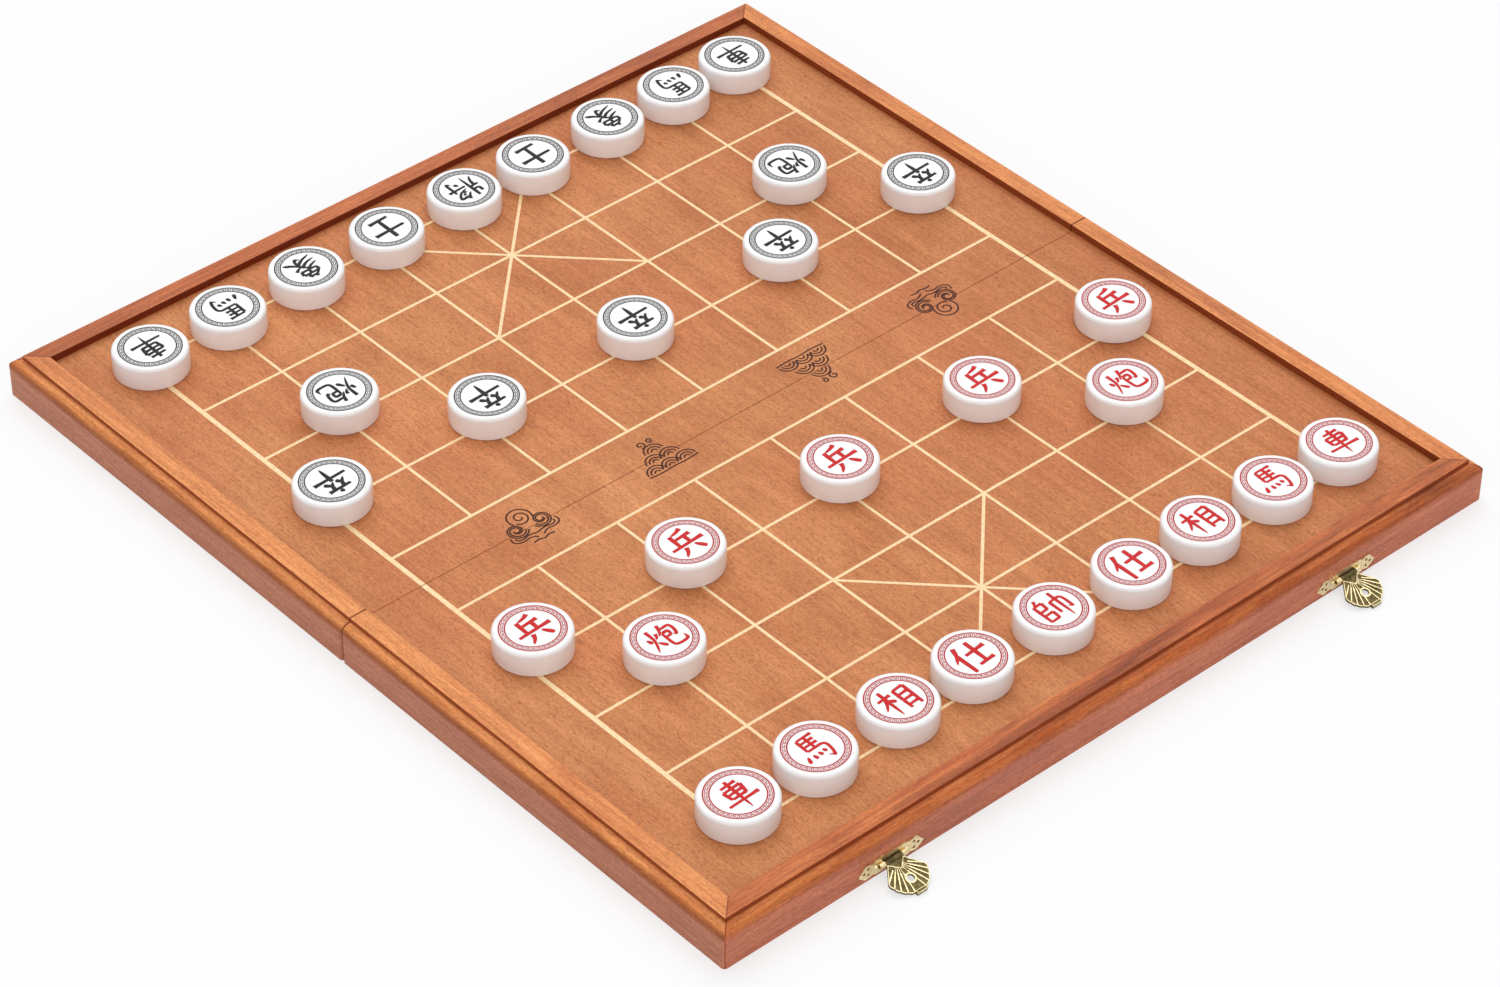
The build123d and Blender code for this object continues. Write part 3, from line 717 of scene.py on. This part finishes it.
# the rank marks in plain regular script: each stroke is a kind and its points, in hundredths of the
# mark's reach from its middle
rankStrokes = {
    "車": [
        ("across", (-44, 70), (44, 77)), ("down", (-50, 44), (-42, -14)),
        ("across", (-50, 43), (50, 50)), ("down", (50, 50), (40, -12)), ("across", (-38, 17), (40, 22)),
        ("across", (-40, -13), (40, -8)), ("across", (-88, -44), (88, -36)),
        ("spike", (0, 100), (0, -102)),
    ],
    "馬": [
        ("down", (-44, 86), (-46, 2)), ("across", (-42, 86), (46, 91)), ("across", (-42, 59), (34, 62)),
        ("across", (-42, 32), (34, 35)), ("down", (0, 86), (0, 8)),
        ("hook", (-46, 2), (58, 8), (54, -52), (40, -88), (16, -70)), ("dot", (-70, -26), (-84, -66)),
        ("dot", (-42, -30), (-36, -60)), ("dot", (-12, -28), (-2, -54)), ("dot", (16, -24), (28, -46)),
    ],
    "相": [
        ("across", (-92, 42), (-12, 50)), ("spike", (-48, 96), (-48, -96)),
        ("fall", (-50, 38), (-66, 4), (-96, -34)), ("dot", (-42, 24), (-14, -4)),
        ("down", (16, 62), (16, -82)), ("across", (16, 61), (80, 66)), ("down", (80, 66), (78, -84)),
        ("across", (20, 22), (72, 25)), ("across", (20, -18), (72, -15)),
        ("across", (20, -58), (72, -55)),
    ],
    "仕": [
        ("fall", (-42, 94), (-58, 46), (-96, -4)), ("down", (-60, 42), (-58, -96)),
        ("across", (-26, 20), (92, 30)), ("down", (30, 92), (30, -58)),
        ("across", (-14, -66), (78, -58)),
    ],
    "帥": [
        ("fall", (-50, 98), (-56, 80), (-72, 62)), ("down", (-80, 62), (-80, -74)),
        ("across", (-80, 60), (-28, 64)), ("down", (-28, 64), (-32, 12)),
        ("across", (-78, 12), (-32, 15)), ("across", (-78, -20), (-24, -16)),
        ("down", (-24, -16), (-28, -70)), ("across", (-78, -70), (-28, -66)),
        ("down", (8, 44), (8, -48)), ("hook", (8, 43), (84, 50), (82, -46), (62, -34)),
        ("spike", (46, 100), (46, -102)),
    ],
    "炮": [
        ("dot", (-86, 38), (-74, 2)), ("fall", (-20, 52), (-26, 30), (-42, 12)),
        ("fall", (-52, 94), (-52, 10), (-94, -78)), ("dot", (-50, -10), (-20, -56)),
        ("fall", (24, 98), (12, 56), (-14, 20)),
        ("hook", (12, 62), (84, 68), (80, 6), (66, -18), (52, -6)),
        ("down", (10, 32), (48, 36), (46, -2)), ("across", (10, -4), (46, -1)),
        ("hook", (8, 32), (6, -62), (18, -84), (84, -82), (96, -70), (96, -36)),
    ],
    "兵": [
        ("fall", (38, 96), (12, 82), (-34, 72)), ("down", (-40, 76), (-42, -12)),
        ("across", (-38, 38), (58, 46)), ("down", (20, 42), (20, -10)),
        ("across", (-94, -20), (94, -8)), ("fall", (-26, -34), (-36, -62), (-64, -92)),
        ("dot", (26, -32), (64, -84)),
    ],
    "象": [
        ("fall", (-6, 100), (-16, 78), (-48, 58)), ("across", (-16, 80), (32, 84)),
        ("fall", (32, 84), (24, 68), (10, 58)), ("across", (-50, 54), (54, 58)),
        ("down", (-50, 54), (-46, 20)), ("down", (54, 58), (48, 22)), ("across", (-46, 22), (48, 25)),
        ("down", (2, 56), (0, 24)), ("fall", (-4, 22), (-30, -2), (-80, -20)),
        ("hook", (-8, 8), (22, -20), (26, -62), (12, -94), (-14, -80)),
        ("fall", (14, -12), (-24, -38), (-84, -52)), ("fall", (22, -42), (-20, -70), (-80, -90)),
        ("fall", (66, 8), (48, -8), (22, -20)), ("sweep", (24, -22), (50, -56), (96, -84)),
    ],
    "士": [
        ("across", (-90, 24), (92, 34)), ("down", (0, 94), (0, -66)), ("across", (-58, -76), (60, -68)),
    ],
    "將": [
        ("spike", (-38, 98), (-38, -98)), ("down", (-76, 74), (-76, 34)),
        ("across", (-76, 34), (-40, 38)), ("across", (-92, 4), (-40, 8)),
        ("fall", (-66, 4), (-72, -40), (-92, -78)), ("fall", (26, 96), (12, 68), (-12, 44)),
        ("fall", (22, 72), (76, 78), (50, 30), (-16, 2)), ("dot", (22, 54), (34, 40)),
        ("dot", (8, 36), (20, 22)), ("across", (-20, -16), (94, -8)),
        ("hook", (60, 18), (60, -88), (36, -74)), ("dot", (8, -38), (26, -60)),
    ],
    "卒": [
        ("dot", (-4, 100), (8, 80)), ("across", (-64, 64), (64, 70)),
        ("fall", (-28, 62), (-34, 34), (-60, 6)), ("dot", (-34, 34), (-14, 10)),
        ("fall", (28, 64), (22, 34), (2, 10)), ("dot", (22, 36), (52, 6)),
        ("across", (-94, -24), (94, -14)), ("spike", (0, 6), (0, -104)),
    ],
}
strokeWidths = {  # at the start, soon after it, shortly before the end and at the end
    "across": (0.72, 0.78, 0.84, 1.1),
    "down": (0.95, 1, 0.9, 0.8),
    "spike": (0.85, 1.1, 0.75, 0.15),
    "fall": (1.05, 1, 0.6, 0.15),
    "sweep": (0.4, 0.7, 1.2, 0.3),
    "hook": (0.7, 0.9, 0.9, 0.2),
    "dot": (0.35, 0.85, 1.2, 0.7),
}


def alongLine(points, share):
    # the point at a share of a line of straight runs
    lengths = [math.dist(a, b) for a, b in zip(points, points[1:])]
    left = share * sum(lengths)
    for (a, b), length in zip(zip(points, points[1:]), lengths):
        if left <= length:
            return tuple(p + (q - p) * left / length for p, q in zip(a, b))
        left -= length
    return points[-1]


def newCurve(name, width):
    clearSelection()
    bpy.ops.curve.primitive_nurbs_path_add()
    line = bpy.context.object
    line.name = name
    line.data.splines.clear()
    line.data.bevel_depth = width  # half the width of a run whose widths are 1
    line.data.bevel_resolution = 1
    line.data.use_fill_caps = True
    line.data.resolution_u = 5
    return line


def addRun(line, points, widths):
    run = line.data.splines.new("NURBS")
    run.points.add(len(points) - 1)
    for knot, (x, y), width in zip(run.points, points, widths):
        knot.co = (x, y, 0, 1)
        knot.radius = width
    run.order_u = min(3, len(points))
    run.use_endpoint_u = True


def flattened(line, thickness):
    # a drawn line made a mesh and pressed flat, its middle at height 0
    only(line)
    bpy.ops.object.convert(target="MESH")
    flat = bpy.context.object
    bpy.ops.object.mode_set(mode="EDIT")
    bpy.ops.mesh.select_all(action="SELECT")
    deepest = max(vertex.co.z for vertex in flat.data.vertices)
    bpy.ops.transform.resize(value=(1, 1, thickness / deepest), center_override=(0, 0, 0))
    bpy.ops.object.mode_set(mode="OBJECT")
    return flat


def printMark(letter, shape):
    mark = newCurve("markPattern", shape["markWeight"] * shape["weights"][letter])
    reach = shape["markReach"] / 100 * shape["sizes"].get(letter, 1)
    for kind, *points in rankStrokes[letter]:
        points = [(x * reach, y * reach) for x, y in points]
        ends = [alongLine(points, shape["endShare"]), alongLine(points, 1 - shape["endShare"])]
        points = [points[0], ends[0], *points[1:-1], ends[1], points[-1]]
        first, early, late, last = strokeWidths[kind]
        gaps = len(points) - 3
        middle = [early + (late - early) * step / gaps for step in range(gaps + 1)]
        addRun(mark, points, [first, *middle, last])
    return flattened(mark, shape["markRise"])


ranks = [
    "chariot_left", "horse_left", "elephant_left", "advisor_left", "general",
    "advisor_right", "elephant_right", "horse_right", "chariot_right", "cannon_left", "cannon_right",
    "soldier_1", "soldier_2", "soldier_3", "soldier_4", "soldier_5",
]
playerSets = {
    "red": {
        "facing": 0,
        "ink": inks["redInk"],
        "ringInk": inks["ringRedInk"],
        "letters": {"chariot": "車", "horse": "馬", "elephant": "相", "advisor": "仕", "general": "帥",
                    "cannon": "炮", "soldier": "兵"},
        "turns": {"horse_right": -5, "chariot_right": -6},  # degrees from square, the others stand square
    },
    "black": {
        "facing": 180,
        "ink": inks["blackInk"],
        "ringInk": inks["blackInk"],
        "letters": {"chariot": "車", "horse": "馬", "elephant": "象", "advisor": "士", "general": "將",
                    "cannon": "炮", "soldier": "卒"},
        "turns": {},
    },
}


def setUpSide(colour, player):
    for rank in ranks:
        name = colour + "_" + rank
        low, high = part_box(name)
        middle = ((low.x + high.x) / 2, (low.y + high.y) / 2)
        body = copyOf(disc, name + "_disc")
        body.data.transform(Matrix.Translation((*middle, high.z - discShape["height"])))
        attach(body, name)
        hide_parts(name)
        border = copyOf(ring, name + "_print")
        border.data.materials.append(player["ringInk"])
        mark = copyOf(marks[player["letters"][rank.split("_")[0]]], "markCopy")
        mark.data.materials.append(player["ink"])
        mark = joined([border, mark], name + "_print")
        turn = math.radians(player["facing"] + player["turns"].get(rank, 0))
        mark.data.transform(Matrix.Translation((*middle, high.z)) @ Matrix.Rotation(turn, 4, "Z"))
        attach(mark, name)


disc = turnDisc(discShape)
ring = printRing(printShape)
marks = {letter: printMark(letter, printShape) for letter in sorted(rankStrokes)}
for colour, player in playerSets.items():
    setUpSide(colour, player)
for pattern in [disc, ring, *marks.values()]:
    bpy.data.objects.remove(pattern)
print("game pieces set up")


riverShape = {
    "line": 0.34 * mm,  # half its width
    "rise": 0.02 * mm,
    "size": 1.32,
    "places": {  # millimetres across and away from the seam, and degrees turned
        "cloudLeft": (-96, 0.8, 0),
        "waveLeft": (-36, 0.4, 0),
        "waveRight": (40, 2.8, 180),
        "cloudRight": (100.3, 2.2, 180),
    },
}


def curl(x, y, reach, start, turns, steps=22):
    # a spiral that closes in on its own middle, down to a fifth of its reach; angles in degrees
    points = []
    for step in range(steps + 1):
        share = step / steps
        angle = math.radians(start + 360 * turns * share)
        radius = reach * (1 - 0.8 * share)
        points.append((x + radius * math.cos(angle), y + radius * math.sin(angle)))
    return points


def arc(x, y, radius, start, end, steps=10):
    angles = [math.radians(start + (end - start) * step / steps) for step in range(steps + 1)]
    return [(x + radius * math.cos(angle), y + radius * math.sin(angle)) for angle in angles]


def cloudLines():
    # the right half in millimetres before riverShape's size, and the same mirrored
    scroll = curl(4.1, 0.4, 3.5, 205, 1.5)
    inner = curl(4.1, 0.4, 2.7, 205, 1.3)
    tail = [(7.4, -1.2), (8.3, -3.2), (5.4, -4.6), (2.6, -3.8), (0.9, -5.2)]
    innerTail = [(6.4, -2.0), (6.6, -3.0), (5.0, -3.6), (2.4, -2.8), (0, -3.6)]
    lines = []
    for side in (-1, 1):
        lines += [[(side * x, y) for x, y in line] for line in (scroll, inner, tail, innerTail)]
    lines += [curl(0, 4.2, 2.9, 215, 1.35), arc(0, 4.2, 3.6, -30, 210)]
    lines.append([(-3.6, -6.4), (-1.6, -5.9), (0, -6.9), (1.6, -5.9), (3.6, -6.4)])
    return lines


def waveLines():
    # rows of scales with two curls above them, in the same millimetres
    lines = []
    for x, y in ((-5.2, -5.4), (0, -5.4), (5.2, -5.4), (-2.6, -1.6), (2.6, -1.6), (0, 2.2)):
        lines += [arc(x, y, radius, 4, 176) for radius in (0.9, 2.0, 3.1)]
    lines.append([(-8.6, -5.9), (-4.3, -6.4), (0, -5.9), (4.3, -6.4), (8.6, -5.9)])
    lines += [curl(-1.5, 6.6, 1.5, 250, 1.2), curl(1.9, 6.9, 1.1, 290, -1.2)]
    return lines


def burnOrnament(name, lines, x, y, turn, shape):
    pattern = newCurve("ornamentPattern", shape["line"])
    size = shape["size"] * mm
    for points in lines:
        addRun(pattern, [(px * size, py * size) for px, py in points], [1] * len(points))
    pattern = flattened(pattern, shape["rise"])
    place = Matrix.Translation((x * mm, seamY + y * mm, boardTop))
    pattern.data.transform(place @ Matrix.Rotation(math.radians(turn), 4, "Z"))
    pattern.data.materials.append(inks["burntLine"])
    # cut along the fold, so that each half goes with its own tray
    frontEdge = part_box("front_board_panel")[1].y
    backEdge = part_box("back_board_panel")[0].y
    for half, edge, outward in (("front", frontEdge, 1), ("back", backEdge, -1)):
        part = copyOf(pattern, half + "_river_" + name)
        only(part)
        bpy.ops.object.mode_set(mode="EDIT")
        bpy.ops.mesh.select_all(action="SELECT")
        bpy.ops.mesh.bisect(plane_co=(0, edge, 0), plane_no=(0, outward, 0), use_fill=True, clear_outer=True)
        bpy.ops.object.mode_set(mode="OBJECT")
        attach(part, half + "_tray")
    bpy.data.objects.remove(pattern)


for name, (x, y, turn) in riverShape["places"].items():
    burnOrnament(name, cloudLines() if name.startswith("cloud") else waveLines(), x, y, turn, riverShape)
print("river ornaments burnt in")


# a fan lies in its own flat frame: x across, y out from the pin, z above the plane through the pin
fanShape = {
    "neck": 3.65 * mm,  # half its width
    "barrel": 1.2 * mm,
    "centre": 6.3 * mm,  # out from the pin
    "radius": 8.05 * mm,
    "firstAngle": 5,
    "lastAngle": 73,
    "scallops": 4,
    "bulge": 0.35 * mm,
    "lipReach": 1.2 * mm,
    "lipEnd": 0.9,  # its width as a share of the fan's at its root
    "lipTop": 1.12 * mm,
    "face": 0.4 * mm,
    "ribsMeet": 4.4 * mm,
    "ribEnd": 0.97,  # short of the scalloped edge
    "ribSteps": 10,
    "hole": 8.9 * mm,
    "holeBead": 1.95 * mm,
    "edgeWidth": 0.22 * mm,  # half widths of the beads
    "ribWidth": 0.16 * mm,
    "holeWidth": 1.1,  # of a rib's
    "lipBead": 0.15 * mm,
    "lipInset": 0.18 * mm,  # from the lip's outer edge to the middle of its bead
    "edgeRise": 0.22 * mm,
    "ribRise": 0.198 * mm,
}
fanLook = {  # bright and dull
    "proud": (paint(238, 222, 178), paint(196, 178, 130)),
    "hollow": (paint(116, 104, 70), paint(74, 64, 38)),
    "roughness": (0.5, 0.32),  # in the hollows and on the beads
    "aboveFace": (0.04 * mm, 0.16 * mm),  # the beads turn bright between these heights
    "belowLipTop": (-0.14 * mm, -0.04 * mm),
    "pastBarrel": (0.05 * mm, 0.2 * mm),
}


def haspPlace(side):
    # the pin's place, and how far below level the flap lies, from the joint's own range
    joints = {joint["name"]: joint for joint in frame["record"]["behaviour"]["joints"]}
    joint = joints["hasp_" + side + "_swing"]
    return Vector(joint["pos_m"]), math.radians(90 - joint["range_deg"][1])


def reachAlong(tree, way):
    # how far the object's own place lies along a direction
    where = tree.nodes.new("ShaderNodeTexCoord")
    reach = tree.nodes.new("ShaderNodeVectorMath")
    reach.operation = "DOT_PRODUCT"
    reach.inputs[1].default_value = way
    tree.links.new(where.outputs["Object"], reach.inputs[0])
    return reach.outputs["Value"]


def fanBrass(side, shape, look):
    # bright above the flap's face, and tarnished olive on it, on the top of the lip and on the knuckle
    pin, tilt = haspPlace(side)
    up = Vector((0, -math.sin(tilt), math.cos(tilt)))
    out = Vector((0, -math.cos(tilt), -math.sin(tilt)))
    finish, tree, shader = newFinish("fanBrass_" + side)
    raised = 1
    for way, start, between, first in (
        (up, shape["face"], look["aboveFace"], 0),
        (up, shape["lipTop"], look["belowLipTop"], 1),
        (out, shape["barrel"], look["pastBarrel"], 0),
    ):
        low, high = [pin.dot(way) + start + reach for reach in between]
        raised = product(tree, raised, valueRange(tree, reachAlong(tree, way), low, high, first, 1 - first))
    tarnish = grainNoise(tree, *tarnishGrain)
    hollow = colourRamp(tree, tarnish, tarnishStops(*look["hollow"]))
    proud = colourRamp(tree, tarnish, tarnishStops(*look["proud"]))
    tree.links.new(mixColour(tree, raised, hollow, proud), shader.inputs["Base Color"])
    shader.inputs["Metallic"].default_value = 1
    tree.links.new(valueRange(tree, raised, 0, 1, *look["roughness"]), shader.inputs["Roughness"])
    return finish


def fanKnots(shape):
    # the points where the scallops meet, from the neck to the lip
    step = (shape["lastAngle"] - shape["firstAngle"]) / shape["scallops"]
    angles = [math.radians(shape["firstAngle"] + step * i) for i in range(shape["scallops"] + 1)]
    return [(shape["radius"] * math.cos(a), shape["centre"] + shape["radius"] * math.sin(a)) for a in angles]


def scallopRun(start, stop, shape, inset, steps=5):
    # a shallow arc between two knots, bulging away from the fan's centre
    points = []
    for step in range(steps + 1):
        share = step / steps
        x = start[0] + (stop[0] - start[0]) * share
        y = start[1] + (stop[1] - start[1]) * share
        out = math.hypot(x, y - shape["centre"])
        grow = 1 + (shape["bulge"] * 4 * share * (1 - share) - inset) / out
        points.append((x * grow, shape["centre"] + (y - shape["centre"]) * grow))
    return points


def clearOfHole(points, shape):
    # the stretches of a rib that lie outside the bead round the hole
    runs = [[]]
    for point in points:
        if math.dist(point, (0, shape["hole"])) > shape["holeBead"]:
            runs[-1].append(point)
        elif runs[-1]:
            runs.append([])
    return [run for run in runs if len(run) > 1]


def fanBeads(shape):
    knots = fanKnots(shape)
    neck, barrel, meet = shape["neck"], shape["barrel"], shape["ribsMeet"]
    inset = shape["edgeWidth"]
    root = knots[-1]
    edge = newCurve("edgeBead", shape["edgeWidth"])
    ribs = newCurve("ribBead", shape["ribWidth"])
    for side in (-1, 1):
        outline = [(neck - inset, barrel), (knots[0][0] - inset, knots[0][1])]
        runs = [[outline[0], alongLine(outline, 0.5), outline[1]]]
        runs += [scallopRun(a, b, shape, inset) for a, b in zip(knots, knots[1:])]
        runs.append([(root[0] * share, root[1] - inset) for share in (0, 0.5, 1)])
        runs.append([(neck - inset, barrel), (neck * 0.5, (barrel + meet) / 2), (0, meet)])
        for run in runs:
            addRun(edge, [(side * x, y) for x, y in run], [1] * len(run))
        for x, y in knots[1:]:
            # a rib runs out from the barrel's middle, and starts where it leaves the plain triangle there
            start = 1 / (x / neck + (y - barrel) / (meet - barrel))
            steps = shape["ribSteps"]
            shares = [start + (shape["ribEnd"] - start) * step / steps for step in range(steps + 1)]
            rib = [(side * x * share, barrel + (y - barrel) * share) for share in shares]
            for run in clearOfHole(rib, shape):
                addRun(ribs, run, [1] * len(run))
    circle = arc(0, shape["hole"], shape["holeBead"], 0, 360, 24)
    addRun(ribs, circle, [shape["holeWidth"]] * len(circle))
    lip = newCurve("lipBead", shape["lipBead"])
    wide, near = root[0] * shape["lipEnd"] - shape["lipBead"], root[1] + shape["lipBead"]
    far = root[1] + shape["lipReach"] - shape["lipInset"]
    # each corner twice, so that it stays sharp
    addRun(lip, [(-wide, near), (-wide, far), (-wide, far), (wide, far), (wide, far), (wide, near)], [1] * 6)
    beads = []
    for line, rise, height in (
        (edge, shape["edgeRise"], shape["face"]),
        (ribs, shape["ribRise"], shape["face"]),
        (lip, shape["lipBead"], shape["lipTop"]),
    ):
        bead = flattened(line, rise)
        bead.data.transform(Matrix.Translation((0, 0, height)))
        beads.append(bead)
    return joined(beads, "fanBeads")


def fitFan(side, beads, shape, look):
    pin, tilt = haspPlace(side)
    dress("hasp_flap_" + side, fanBrass(side, shape, look))
    beading = copyOf(beads, "hasp_beading_" + side)
    turn = Matrix.Rotation(tilt, 4, "X") @ Matrix.Rotation(math.pi, 4, "Z")
    beading.data.transform(Matrix.Translation(pin) @ turn)
    beading.data.materials.clear()
    beading.data.materials.append(metals["beadBrass"])
    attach(beading, "hasp_flap_" + side)


beads = fanBeads(fanShape)
for side in ("left", "right"):
    fitFan(side, beads, fanShape, fanLook)
bpy.data.objects.remove(beads)
print("hasps beaded")
